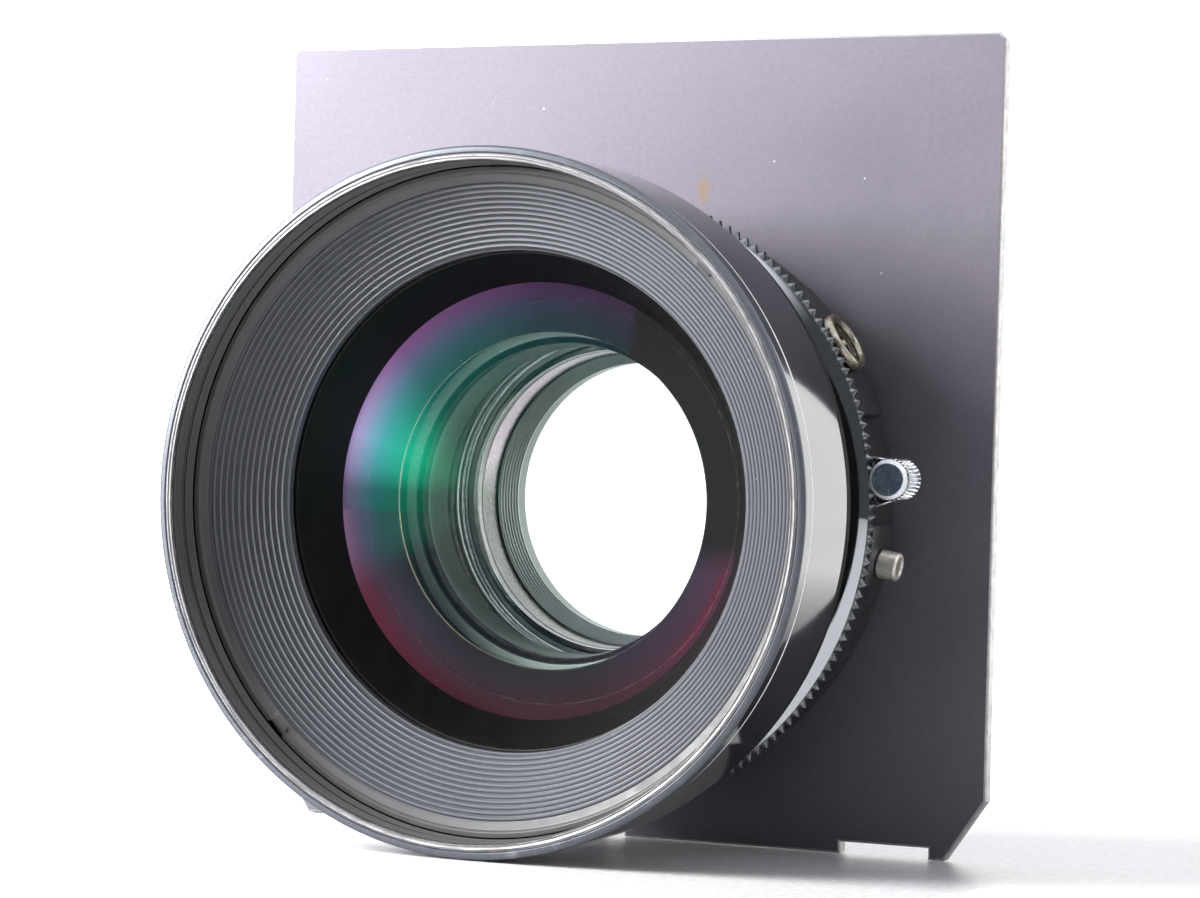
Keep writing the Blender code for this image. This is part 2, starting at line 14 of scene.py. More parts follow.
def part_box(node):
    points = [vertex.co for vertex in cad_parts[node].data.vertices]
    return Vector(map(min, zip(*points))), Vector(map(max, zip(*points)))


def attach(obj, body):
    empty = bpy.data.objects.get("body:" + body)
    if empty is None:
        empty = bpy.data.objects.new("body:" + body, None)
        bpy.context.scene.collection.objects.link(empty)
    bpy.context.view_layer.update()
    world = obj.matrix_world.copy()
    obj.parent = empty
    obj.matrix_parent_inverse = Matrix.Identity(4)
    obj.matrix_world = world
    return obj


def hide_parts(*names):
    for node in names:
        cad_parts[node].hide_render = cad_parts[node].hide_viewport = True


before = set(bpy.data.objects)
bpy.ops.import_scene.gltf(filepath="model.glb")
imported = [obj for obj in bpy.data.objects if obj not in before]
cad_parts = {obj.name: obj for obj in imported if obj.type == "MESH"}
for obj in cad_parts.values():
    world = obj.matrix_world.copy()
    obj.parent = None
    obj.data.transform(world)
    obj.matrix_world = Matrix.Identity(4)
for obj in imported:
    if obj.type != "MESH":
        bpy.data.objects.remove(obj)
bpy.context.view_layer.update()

MM = 0.001
RIM_LOW, RIM_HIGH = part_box("filter_rim")
FACE_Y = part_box("lens_board")[0].y
AXIS_Z = (RIM_LOW.z + RIM_HIGH.z) / 2
LENS = Matrix.Translation((0, FACE_Y, AXIS_Z)) @ Matrix.Rotation(math.radians(90), 4, "X")
TO_LENS = LENS.inverted()

FINE = 256        # steps round the large turned pieces
MEDIUM = 128
SMALL = 64
EDGE = 0.12       # rounding of machined edges


# ---- places taken from the frame

def corners(node):
    """Lowest and highest corner of a CAD node in the lens frame, millimetres."""
    low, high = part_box(node)
    first, second = TO_LENS @ low, TO_LENS @ high
    lowest = Vector(map(min, first, second)) / MM
    highest = Vector(map(max, first, second)) / MM
    return lowest, highest


def span(node):
    """Radius, back level and front level of a CAD node turned round the optical axis."""
    low, high = corners(node)
    return (high.x - low.x) / 2, low.z, high.z


def centre(node):
    low, high = corners(node)
    return (low + high) / 2


def direction(node):
    """Angle of a CAD node round the optical axis, in degrees from the right."""
    middle = centre(node)
    return math.degrees(math.atan2(middle.y, middle.x))


def reach(node, degrees):
    """How far a CAD node reaches from the optical axis in a direction across it."""
    x, y = polar(1.0, degrees)
    points = (TO_LENS @ vertex.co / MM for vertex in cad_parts[node].data.vertices)
    return max(point.x * x + point.y * y for point in points)


def polar(radius, degrees):
    angle = math.radians(degrees)
    return (radius * math.cos(angle), radius * math.sin(angle))


# ---- shape helpers

class Curve(tuple):
    """A point of a curved stretch of an outline, which needs no rounding of its own.

    A third value, where it has one, says how far the point stands on a crest, from 0 to 1.
    """


def signed_area(loop):
    """Twice the area of a closed loop, positive where it runs anticlockwise."""
    return sum(a[0] * b[1] - b[0] * a[1] for a, b in zip(loop, loop[1:] + loop[:1]))


def rounded(outline, radius):
    """Rounds the corners of a closed outline.

    Names in the outline say which finish follows. Returns (r, level, finish, wear) rows, where wear is 1
    on the rounded outer corners and on the crests of ridges.
    """
    points = []
    finish = 0
    names = []
    for entry in outline:
        if isinstance(entry, str):
            if entry not in names:
                names.append(entry)
            finish = names.index(entry)
        else:
            crest = entry[2] if len(entry) > 2 else 0.0
            points.append((Vector(entry[:2]), finish, isinstance(entry, Curve), crest))
    side = 1.0 if signed_area([point[0] for point in points]) > 0 else -1.0
    rows = []
    count = len(points)
    for index, (here, finish, curved, crest) in enumerate(points):
        before, before_finish = points[index - 1][:2]
        after = points[(index + 1) % count][0]
        back, ahead = before - here, after - here
        turn = side * (-back.x * ahead.y + back.y * ahead.x)
        cut = min(radius, 0.3 * back.length, 0.3 * ahead.length)
        if curved or here.x < 1e-6 or cut < 0.01:
            rows.append((here.x, here.y, finish, crest))
            continue
        worn = 1.0 if turn > 0 else 0.0
        start, end = here + back.normalized() * cut, here + ahead.normalized() * cut
        support = 0.6 * cut
        first = start + back.normalized() * support
        last = end + ahead.normalized() * support
        rows.append((first.x, first.y, before_finish, 0.0))
        steps = 3
        for step in range(steps + 1):
            t = step / steps
            point = start * (1 - t) ** 2 + here * 2 * t * (1 - t) + end * t ** 2
            rows.append((point.x, point.y, before_finish if t < 0.5 else finish, worn))
        rows.append((last.x, last.y, finish, 0.0))
    return rows, names


def add_object(name, data, matrix=LENS):
    item = bpy.data.objects.new(name, data)
    bpy.context.scene.collection.objects.link(item)
    item.matrix_world = matrix
    return item


def smooth_object(name, mesh, materials, smooth_angle, matrix=LENS):
    for material in materials:
        mesh.materials.append(material)
    mesh.shade_smooth()
    mesh.set_sharp_from_angle(angle=math.radians(smooth_angle))
    return add_object(name, mesh, matrix)


def lathe(name, outline, finishes, steps=FINE, edge=EDGE, wave=None, placing=Matrix(),
          smooth_angle=35.0):
    """Turns a closed outline of (radius, level) points round the Z axis.

    Either way round the outline is turned the right way out. wave(level, radius, turn) gives how far a point
    moves inwards, for teeth and knurls.
    """
    rows, names = rounded(outline, edge)
    materials = [finishes[key] for key in names] if names else [finishes]
    if signed_area(rows) < 0:
        flipped = rows[::-1]
        rows = [(r, z, flipped[(i + 1) % len(rows)][2], w) for i, (r, z, _, w) in enumerate(flipped)]
    vertices, wear, start = [], [], []
    for radius, level, _, worn in rows:
        start.append(len(vertices))
        if radius < 1e-6:
            vertices.append((0.0, 0.0, level))
            wear.append(worn)
            continue
        for step in range(steps):
            turn = step / steps
            r = radius - (wave(level, radius, turn) if wave else 0.0)
            vertices.append((r * math.cos(math.tau * turn), r * math.sin(math.tau * turn), level))
            wear.append(worn)
    faces, marks = [], []
    for index, row in enumerate(rows):
        following = (index + 1) % len(rows)
        here, there = start[index], start[following]
        here_axis, there_axis = row[0] < 1e-6, rows[following][0] < 1e-6
        if here_axis and there_axis:
            continue
        for step in range(steps):
            after = (step + 1) % steps
            if here_axis:
                faces.append((here, there + after, there + step))
            elif there_axis:
                faces.append((here + step, here + after, there))
            else:
                faces.append((here + step, here + after, there + after, there + step))
            marks.append(row[2])
    mesh = bpy.data.meshes.new(name)
    mesh.from_pydata([(x * MM, y * MM, z * MM) for x, y, z in vertices], [], faces)
    # wear: rubbed edges, and on ridges the crest value that also masks painted groove shade
    mesh.attributes.new("wear", "FLOAT", "POINT").data.foreach_set("value", wear)
    mesh.polygons.foreach_set("material_index", marks)
    mesh.update()
    return smooth_object(name, mesh, materials, smooth_angle, LENS @ placing)


def offset_loop(loop, inset, hole):
    """Moves a closed loop of 2-D points inwards into the material by an amount."""
    side = 1.0 if (signed_area(loop) > 0) != hole else -1.0
    moved = []
    for index, point in enumerate(loop):
        here = Vector(point)
        back = (here - Vector(loop[index - 1])).normalized()
        ahead = (Vector(loop[(index + 1) % len(loop)]) - here).normalized()
        across = Vector((-(back.y + ahead.y), back.x + ahead.x))
        if across.length < 1e-6:
            moved.append(point)
            continue
        across.normalize()
        reach = inset / max(0.35, across.dot(Vector((-back.y, back.x))))
        moved.append(tuple(here + across * reach * side))
    return moved


def plate(name, loops, back, front, finishes, edge=0.15, edge_steps=2):
    """A flat plate with rounded edges; the first finish is its faces and the last its edges."""
    stations = []
    for step in range(edge_steps + 1):
        angle = math.radians(90 * step / edge_steps)
        stations.append((edge * (1 - math.sin(angle)), back + edge * (1 - math.cos(angle))))
    stations += [(inset, front + back - level) for inset, level in reversed(stations)]
    bm = bmesh.new()
    wear = bm.verts.layers.float.new("wear")
    caps = {0: [], len(stations) - 1: []}
    for number, loop in enumerate(loops):
        rings = []
        for index, (inset, level) in enumerate(stations):
            points = offset_loop(loop, inset, number > 0)
            ring = [bm.verts.new((x * MM, y * MM, level * MM)) for x, y in points]
            for vertex in ring:
                vertex[wear] = 1.0 if 0 < index < len(stations) - 1 else 0.4
            rings.append(ring)
        for first, second in zip(rings, rings[1:]):
            for index in range(len(loop)):
                after = (index + 1) % len(loop)
                face = bm.faces.new((first[index], first[after], second[after], second[index]))
                face.material_index = len(finishes) - 1
        for cap in caps:
            ring = rings[cap]
            for index in range(len(ring)):
                pair = (ring[index], ring[(index + 1) % len(ring)])
                caps[cap].append(bm.edges.get(pair) or bm.edges.new(pair))
    for edges in caps.values():
        bmesh.ops.triangle_fill(bm, edges=edges, use_beauty=True, use_dissolve=False, normal=(0, 0, 1))
    bmesh.ops.recalc_face_normals(bm, faces=bm.faces)
    mesh = bpy.data.meshes.new(name)
    bm.to_mesh(mesh)
    bm.free()
    return smooth_object(name, mesh, finishes, 20.0)


def face_loops(node):
    """The outline and holes of a flat CAD plate, read off its front face in the lens frame."""
    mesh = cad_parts[node].data
    level = corners(node)[1].z
    points = [(TO_LENS @ vertex.co) / MM for vertex in mesh.vertices]
    keys = [(round(p.x, 3), round(p.y, 3)) for p in points]
    flat = [abs(p.z - level) < 0.02 for p in points]
    sides = {}
    for polygon in mesh.polygons:
        if all(flat[index] for index in polygon.vertices):
            ring = [keys[index] for index in polygon.vertices]
            sides.update(dict.fromkeys(zip(ring, ring[1:] + ring[:1])))
    onward = {first: second for first, second in sides if (second, first) not in sides}
    loops = []
    while onward:
        first = next(iter(onward))
        loop = [first]
        point = onward.pop(first)
        while point != first:
            loop.append(point)
            point = onward.pop(point)
        loops.append(loop)
    loops.sort(key=lambda loop: -max(math.hypot(*point) for point in loop))
    return loops


def finer_arcs(loop):
    """Adds points along the stretches of a loop that lie on a circle round the optical axis."""
    longest, widest = 0.6, 14.0
    finer = []
    for first, second in zip(loop, loop[1:] + loop[:1]):
        finer.append(first)
        radius, other = math.hypot(*first), math.hypot(*second)
        start = math.degrees(math.atan2(first[1], first[0]))
        swing = (math.degrees(math.atan2(second[1], second[0])) - start + 180) % 360 - 180
        if abs(radius - other) < 0.01 and abs(swing) < widest and radius > 5:
            pieces = max(1, round(radius * math.radians(abs(swing)) / longest))
            finer += [polar(radius, start + swing * step / pieces) for step in range(1, pieces)]
    return finer


def ridges(start, end, count, height, steps=8):
    """Rounded ridges from one outline point to another; height is positive to the left of the way."""
    half_width = 0.42
    first, last = Vector(start), Vector(end)
    along = last - first
    across = Vector((-along.y, along.x)).normalized()
    points = []
    for number in range(count):
        for step in range(steps):
            phase = step / steps
            lift = 0.5 + 0.5 * math.cos(math.pi * min(1.0, abs(phase - 0.5) / half_width))
            point = first + along * ((number + phase) / count) + across * height * lift
            points.append(Curve((point.x, point.y, lift)))
    return points


def dome(radius, edge, apex):
    """A lens surface from its edge to its apex on the axis."""
    steps = 14
    points = []
    for step in range(steps + 1):
        r = radius * (steps - step) / steps
        points.append(Curve((r, edge + (apex - edge) * (1 - (r / radius) ** 2))))
    return points


def arc_points(middle, radius, start, end, steps):
    points = []
    for step in range(steps + 1):
        x, y = polar(radius, start + (end - start) * step / steps)
        points.append(Curve((middle[0] + x, middle[1] + y)))
    return points


def radial(angle, level):
    """Lays a piece's Z axis along the radius at an angle, at a level in front of the board."""
    turn = Matrix.Rotation(math.radians(angle), 4, "Z") @ Matrix.Rotation(math.radians(90), 4, "Y")
    return Matrix.Translation((0, 0, level * MM)) @ turn


# ---- material helpers

class Value:
    """An output of a shader node. Sums and products of it add math nodes to its tree."""

    def __init__(self, socket):
        self.socket = socket
        self.tree = socket.id_data

    def all(self):
        return [Value(socket) for socket in self.socket.node.outputs]

    def math(self, operation, second=0.0, clamp=False):
        settings = {"operation": operation, "use_clamp": clamp}
        return add(self.tree, "Math", settings, i0=self, i1=second)

    def __add__(self, other):
        return self.math("ADD", other)

    def __sub__(self, other):
        return self.math("SUBTRACT", other)

    def __mul__(self, other):
        return self.math("MULTIPLY", other)

    def __truediv__(self, other):
        return self.math("DIVIDE", other)


def set_input(socket, value):
    """Links a Value to an input, or sets the input's own constant. A colour gets an alpha of 1."""
    if isinstance(value, Value):
        value.tree.links.new(value.socket, socket)
    elif socket.type == "RGBA":
        socket.default_value = (*value, 1.0)
    else:
        socket.default_value = value


def add(tree, kind, settings=None, output=0, **inputs):
    """Adds a node and gives an output of it. Inputs go by i and a number, or by name with _ for a space."""
    node = tree.nodes.new(f"ShaderNode{kind}")
    for key, value in (settings or {}).items():
        setattr(node, key, value)
    for key, value in inputs.items():
        numbered = key[0] == "i" and key[1:].isdigit()
        set_input(node.inputs[int(key[1:]) if numbered else key.replace("_", " ")], value)
    return Value(node.outputs[output])


def new_material(name):
    """A material and the Value of the place on the object."""
    material = bpy.data.materials.new(name)
    material.use_nodes = True
    return material, add(material.node_tree, "TexCoord", output="Object")


def noise(where, scale, detail=5.0, roughness=0.6):
    return add(where.tree, "TexNoise", None, "Fac", Vector=where, Scale=scale, Detail=detail,
               Roughness=roughness)


def between(value, low, high, to_low=0.0, to_high=1.0, soft=True):
    settings = {"interpolation_type": "SMOOTHSTEP" if soft else "LINEAR", "clamp": True}
    return add(value.tree, "MapRange", settings, Value=value, From_Min=low, From_Max=high,
               To_Min=to_low, To_Max=to_high)


def blend(amount, first, second, mode="MIX"):
    tree = next(value.tree for value in (amount, first, second) if isinstance(value, Value))
    settings = {"data_type": "RGBA", "blend_type": mode}
    return add(tree, "Mix", settings, 2, i0=amount, i6=first, i7=second)


def ramp(value, *stops):
    """A colour ramp. Each stop is a position and its red, green and blue, or one grey."""
    colour = add(value.tree, "ValToRGB", Fac=value)
    bar = colour.socket.node.color_ramp
    for number, (position, *tone) in enumerate(stops):
        stop = bar.elements[number] if number < 2 else bar.elements.new(position)
        stop.position = position
        stop.color = (*(tone * 3 if len(tone) == 1 else tone), 1.0)
    return colour


def split(where):
    return add(where.tree, "SeparateXYZ", Vector=where).all()


def join(x, y, z):
    return add(x.tree, "CombineXYZ", X=x, Y=y, Z=z)


def round_axis(where):
    """Radius and angle about the optical axis, and the level. The angle grows from the left over the top."""
    x, y, z = split(where)
    return (x * x + y * y).math("SQRT"), y.math("ARCTAN2", x * -1.0), z


def bump(height, strength, distance):
    return add(height.tree, "Bump", Height=height, Strength=strength, Distance=distance)


def edge_wear_and_ridge_crest(where):
    """The mesh's own wear value: 1 on rounded edges and on the crests of ridges, where ridge materials also
    use it as the mask of their painted groove shade.
    """
    return add(where.tree, "Attribute", {"attribute_name": "wear"}, "Fac")


def worn_edge(where, amount):
    """Where a rounded edge is rubbed bright: the wear value, broken up by noise."""
    patches = between(noise(where, 900.0, 5.0, 0.65), 0.42, 0.62)
    return (edge_wear_and_ridge_crest(where) * patches).math("MULTIPLY", amount, clamp=True)


def specks(where, scale, share):
    """Sparse small bright dots such as dust."""
    distance, colour = add(where.tree, "TexVoronoi", {"feature": "F1"}, Vector=where, Scale=scale,
                           Randomness=1.0).all()[:2]
    pick = add(where.tree, "SeparateColor", Color=colour)
    return between(distance, 0.03, 0.07, 1.0, 0.0) * pick.math("GREATER_THAN", 1.0 - share)


def dusted(where, colour, scale, share, amount, tone):
    return blend(specks(where, scale, share) * amount, colour, tone)


def turning_lines(where, scale=9000.0):
    """Fine lines that a lathe leaves round the axis."""
    radius, angle, level = round_axis(where)
    return noise(join(radius, level, angle.math("COSINE") * 0.0006), scale, 4.0, 0.6)


def finished(material, colour, roughness, metallic, normal, coat=0.0, specular=0.5):
    shader = material.node_tree.nodes["Principled BSDF"]
    settings = {"Base Color": colour, "Roughness": roughness, "Metallic": metallic, "Normal": normal,
                "Coat Weight": coat, "Coat Roughness": 0.03, "Specular IOR Level": specular}
    for key, value in settings.items():
        set_input(shader.inputs[key], value)
    return material


def mix_shaders(amount, first, second):
    return add(amount.tree, "MixShader", i0=amount, i1=first, i2=second)


# ---- materials

def board_material():
    """Dyed anodised aluminium, faded unevenly, with a dried ochre drop above the shutter."""
    drop_x, drop_y, drop_width, drop_height = 0.0099, 0.0385, 0.0010, 0.0021
    material, where = new_material("board_anodised")
    cloudy = noise(where, 38.0)
    fine = noise(where, 1500.0, 4.0, 0.7)
    grain = noise(where, 5200.0, 2.0, 0.6)
    colour = blend(between(cloudy, 0.3, 0.7), (0.128, 0.118, 0.142), (0.152, 0.140, 0.166))
    colour = blend(between(fine, 0.35, 0.7, 0.0, 0.35), colour, (0.105, 0.098, 0.116))
    colour = dusted(where, colour, 420.0, 0.10, 0.5, (0.62, 0.60, 0.64))
    x, y, _ = split(where)
    across, along = (x - drop_x) / drop_width, (y - drop_y) / drop_height
    ragged = across * across + along * along + fine * 1.3
    colour = blend(between(ragged, 0.9, 1.7, 0.55, 0.0), colour, (0.17, 0.115, 0.065))
    return finished(material, colour, between(cloudy, 0.3, 0.7, 0.50, 0.60), 0.9,
                    bump(grain * 0.6 + fine, 0.25, 0.00004))


def board_edge_material():
    """Sawn and chamfered edge of the board, worn to beige metal in places."""
    material, where = new_material("board_edge_worn")
    patches = noise(where, 700.0, 5.0, 0.7)
    colour = blend(between(patches, 0.35, 0.65), (0.40, 0.38, 0.375), (0.31, 0.295, 0.30))
    return finished(material, colour, between(patches, 0.3, 0.7, 0.34, 0.45), 0.85,
                    bump(patches, 0.1, 0.00002))


def lacquer_material():
    """Polished black lacquer with faint hairlines, dust and bright rubbed edges."""
    material, where = new_material("gloss_black")
    smudge = noise(where, 90.0)
    colour = blend(smudge, (0.006, 0.007, 0.008), (0.012, 0.013, 0.015))
    colour = dusted(where, colour, 300.0, 0.08, 0.25, (0.35, 0.35, 0.36))
    colour = blend(worn_edge(where, 0.5), colour, (0.22, 0.20, 0.18))
    hairlines = bump(turning_lines(where, 5000.0), 0.03, 0.00002)
    return finished(material, colour, between(smudge, 0.35, 0.75, 0.045, 0.10), 0.0, hairlines, coat=0.4)


def black_material(name, tone, roughness, wear=0.6, specular=0.5):
    """Black paint or anodising, mottled, with a fine grain and worn edges."""
    material, where = new_material(name)
    mottle = noise(where, 400.0)
    grain = noise(where, 6000.0, 2.0, 0.5)
    colour = blend(mottle, (0.8 * tone,) * 3, (1.25 * tone, 1.25 * tone, 1.32 * tone))
    colour = dusted(where, colour, 500.0, 0.06, 0.2, (0.4, 0.4, 0.4))
    if wear > 0.0:
        colour = blend(worn_edge(where, wear), colour, (0.25, 0.2375, 0.22))
    rough = between(mottle, 0.3, 0.7, roughness - 0.07, roughness + 0.07)
    return finished(material, colour, rough, 0.0, bump(grain, 0.2, 0.00004), specular=specular)


def rim_material():
    """Satin blue-grey anodised side of the filter rim, finely turned."""
    material, where = new_material("satin_grey")
    lines = turning_lines(where)
    patches = noise(where, 260.0, 6.0, 0.7)
    colour = blend(lines, (0.072, 0.077, 0.09), (0.11, 0.117, 0.136))
    colour = blend(between(patches, 0.55, 0.75, 0.0, 0.5), colour, (0.30, 0.30, 0.32))
    return finished(material, colour, between(lines, 0.3, 0.7, 0.30, 0.42), 0.8, bump(lines, 0.12, 0.00003))


def lip_material():
    """Front edge of the rim, rubbed through to beige bare metal in streaks that follow the turning."""
    material, where = new_material("rubbed_lip")
    radius, angle, _ = round_axis(where)
    along = [angle.math(turn) * 0.03 for turn in ("COSINE", "SINE")]
    streaks = noise(join(radius * 9.0, *along), 420.0, 5.0, 0.65)
    amount = (edge_wear_and_ridge_crest(where) + 0.35).math("MULTIPLY", between(streaks, 0.38, 0.60), clamp=True)
    colour = blend(amount, (0.16, 0.155, 0.16), (0.34, 0.335, 0.34))
    return finished(material, colour, between(streaks, 0.3, 0.7, 0.50, 0.40), 0.9,
                    bump(streaks, 0.05, 0.00002))


def ridge_shade_material(name, groove, crest):
    """Ridges with painted shade in the grooves between them, so that their crests stand lighter than the
    grooves.
    """
    material, where = new_material(name)
    mottle = noise(where, 320.0)
    fine = noise(where, 2600.0, 3.0, 0.6)
    # painted shade: the darker groove colour fills the grooves and the crest colour the crests
    colour = blend(between(edge_wear_and_ridge_crest(where), 0.15, 0.85), groove, crest)
    colour = blend(between(mottle, 0.3, 0.7, 0.0, 0.25), colour, tuple(0.6 * c for c in crest))
    colour = dusted(where, colour, 420.0, 0.10, 0.5, (0.5, 0.5, 0.5))
    return finished(material, colour, between(fine, 0.3, 0.7, 0.33, 0.47), 0.2, bump(fine, 0.1, 0.00003))


def polished_ring_material():
    """Dark polished metal of the speed ring, with smudges, hairlines and dust."""
    material, where = new_material("polished_ring")
    smudge = noise(where, 140.0)
    colour = blend(smudge, (0.36, 0.38, 0.40), (0.46, 0.48, 0.50))
    colour = dusted(where, colour, 420.0, 0.12, 0.6, (0.75, 0.75, 0.74))
    hairlines = bump(turning_lines(where, 6000.0), 0.04, 0.00002)
    return finished(material, colour, between(smudge, 0.35, 0.75, 0.02, 0.06), 1.0, hairlines)


def plated_material(name, light, dark, roughness, metallic=1.0):
    """Plated or bare metal: two tones in patches, with fine scratches."""
    material, where = new_material(name)
    patches = noise(where, 900.0, 6.0, 0.65)
    drawn_out = add(where.tree, "Mapping", Vector=where, Scale=(9.0, 1.0, 3.0))
    scratches = noise(drawn_out, 1800.0, 4.0, 0.7)
    colour = blend(between(patches, 0.36, 0.64), light, dark)
    rough = between(scratches, 0.3, 0.75, roughness * 0.7, roughness * 1.5)
    return finished(material, colour, rough, metallic, bump(scratches, 0.06, 0.00002))


def plastic_material():
    material, where = new_material("insulator_white")
    mottle = noise(where, 1500.0, 4.0, 0.6)
    colour = blend(mottle, (0.62, 0.59, 0.52), (0.78, 0.76, 0.70))
    return finished(material, colour, between(mottle, 0.3, 0.7, 0.4, 0.55), 0.0, bump(mottle, 0.1, 0.00003))


def sleeve_tone_and_sheen_material(name, tone, roughness, metallic):
    """Blackened inside of a barrel, coloured partly in its own dark tone and partly in the soft grey-green of
    its sheen at a flat angle, as painted sheen.
    """
    material, where = new_material(name)
    lines = turning_lines(where, 7000.0)
    mottle = noise(where, 260.0)
    # the tones are partly the sleeve's own colour and partly painted sheen, the same from every direction
    colour = blend(lines * mottle, tuple(0.7 * c for c in tone), tuple(1.5 * c for c in tone))
    colour = dusted(where, colour, 700.0, 0.12, 0.5, (0.6, 0.62, 0.6))
    rough = between(lines, 0.3, 0.7, roughness * 0.8, roughness * 1.2)
    return finished(material, colour, rough, metallic, bump(lines, 0.1, 0.00003))


def ground_side_material():
    """Ground edge of the rear glass: brownish grey, with a painted pink reflection round its upper left."""
    material, where = new_material("ground_glass_side")
    degrees = round_axis(where)[1].math("DEGREES")
    grain = noise(where, 1800.0, 4.0, 0.6)
    # painted reflection: the upper left of the side turns pink
    painted_pink_reflection = between(degrees, -2.0, 22.0) * between(degrees, 110.0, 60.0)
    colour = blend(painted_pink_reflection, (0.12, 0.113, 0.11), (0.52, 0.41, 0.48))
    colour = blend(between(grain, 0.45, 0.75, 0.0, 0.3), colour, (0.16, 0.15, 0.15))
    colour = dusted(where, colour, 700.0, 0.12, 0.5, (0.8, 0.8, 0.8))
    return finished(material, colour, between(grain, 0.3, 0.7, 0.26, 0.36), 0.7, bump(grain, 0.06, 0.00003))


def glass_material(name, painted_reflection_glow=None):
    """Thin coated glass: clear, with a mirror sheen that grows at flat angles, and where given, coating
    colours painted on as emission, a painted reflection.
    """
    material, where = new_material(name)
    tree = where.tree
    tree.nodes.remove(tree.nodes["Principled BSDF"])
    clear = add(tree, "BsdfTransparent", Color=(0.985, 0.995, 0.99))
    mirror = add(tree, "BsdfGlossy", Color=(0.75, 0.85, 0.9), Roughness=0.02)
    lint = add(tree, "BsdfDiffuse", Color=(0.7, 0.72, 0.72))
    facing = add(tree, "LayerWeight", None, "Facing", Blend=0.25)
    sheen = facing.math("POWER", 3.0).math("MULTIPLY", 0.10, clamp=True)
    surface = mix_shaders(specks(where, 520.0, 0.10) * 0.25, mix_shaders(sheen, clear, mirror), lint)
    if painted_reflection_glow is not None:
        # painted reflection: the coating colours glow on top of the clear glass
        light = add(tree, "Emission", Color=painted_reflection_glow(where), Strength=1.0)
        surface = add(tree, "AddShader", i0=surface, i1=light)
    set_input(tree.nodes["Material Output"].inputs["Surface"], surface)
    return material


def painted_coating_reflections(where):
    """Painted reflections of the front glass's coatings, added as emission: the colours that the coatings
    give back.

    Rings of emerald, blue and lavender are brightest in the upper left and fade round by the top. Below the
    middle they turn to wine red over slate. A dull patch at the right is free of them.
    """
    edge_radius = 0.0257
    radius, turn, _ = round_axis(where)
    x, y, _ = split(where)
    out, degrees = radius / edge_radius, turn.math("DEGREES")
    bright = ramp(
        out, (0.0, 0.002, 0.008, 0.005), (0.30, 0.004, 0.05, 0.026), (0.46, 0.006, 0.17, 0.085),
        (0.60, 0.012, 0.46, 0.26), (0.72, 0.025, 0.46, 0.34), (0.81, 0.07, 0.44, 0.45),
        (0.88, 0.19, 0.42, 0.58), (0.94, 0.34, 0.37, 0.61), (0.98, 0.40, 0.33, 0.59), (1.0, 0.34, 0.26, 0.50))
    dim = ramp(
        out, (0.0, 0.002, 0.006, 0.004), (0.45, 0.008, 0.085, 0.05), (0.60, 0.012, 0.17, 0.13),
        (0.74, 0.04, 0.26, 0.24), (0.84, 0.12, 0.27, 0.38), (0.91, 0.24, 0.24, 0.46),
        (0.96, 0.36, 0.19, 0.47), (1.0, 0.40, 0.17, 0.46))
    upper = blend(between(degrees, 18.0, 50.0), bright, dim)
    fade = ramp(
        between(degrees, -10.0, 190.0, soft=False), (0.0, 0.22), (0.06, 0.30), (0.095, 0.72), (0.135, 1.0),
        (0.19, 0.80), (0.27, 0.46), (0.36, 0.31), (0.50, 0.13, 0.13, 0.14), (0.62, 0.08, 0.08, 0.09),
        (0.80, 0.02))
    upper = blend(1.0, upper, fade, "MULTIPLY")
    violet = ramp(
        out, (0.0, 0.002, 0.006, 0.005), (0.45, 0.006, 0.04, 0.025), (0.62, 0.012, 0.085, 0.06),
        (0.78, 0.025, 0.085, 0.09), (0.88, 0.06, 0.085, 0.13), (0.94, 0.11, 0.085, 0.15),
        (1.0, 0.17, 0.10, 0.18))
    wine = ramp(
        out, (0.0, 0.001, 0.002, 0.002), (0.45, 0.004, 0.008, 0.008), (0.68, 0.012, 0.018, 0.026),
        (0.80, 0.042, 0.036, 0.058), (0.90, 0.080, 0.034, 0.058), (0.96, 0.115, 0.030, 0.052),
        (1.0, 0.115, 0.028, 0.050))
    lower = blend(between(degrees, -12.0, -30.0), violet, wine)
    low_fade = ramp(
        between(degrees, 0.0, -180.0, soft=False), (0.0, 1.0), (0.22, 0.85), (0.40, 0.42), (0.60, 0.34),
        (0.80, 0.60, 0.62, 0.80), (0.93, 0.70, 0.75, 1.0), (1.0, 0.30, 0.32, 0.42))
    lower = blend(1.0, lower, low_fade, "MULTIPLY")
    below_middle = between(y, -0.0020, -0.0016, 1.0, 0.0)
    colour = blend(below_middle, upper, lower)
    dull_right = between(x, 0.0112, 0.0124) * between(y, -0.0085, -0.0035)
    colour = blend(dull_right, colour, (0.006, 0.006, 0.007))
    # painted reflection: a thin wine-red arc just inside the edge at the lower right
    line = between(out, 0.955, 0.965) * between(out, 0.975, 0.985, 1.0, 0.0)
    line = line * between(degrees, -128.0, -142.0) * between(degrees, -166.0, -158.0)
    return blend(line * 0.8, colour, (0.13, 0.006, 0.035))


# ---- pieces

def settle(item, slot, *nodes, body="lens_body"):
    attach(item, body)
    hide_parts(*nodes)


def slot_distance(turn, slots):
    """Part of a turn from a point to the nearest slot."""
    return min(abs((turn - slot + 0.5) % 1.0 - 0.5) for slot in slots)


def make_board(m):
    low, high = corners("lens_board")
    loops = face_loops("lens_board")
    loops = [loops[0]] + [finer_arcs(loop) for loop in loops[1:]]
    item = plate("board", loops, low.z, high.z, [m["board"], m["board_edge"]], edge=0.28)
    settle(item, "board_anodised", "lens_board")


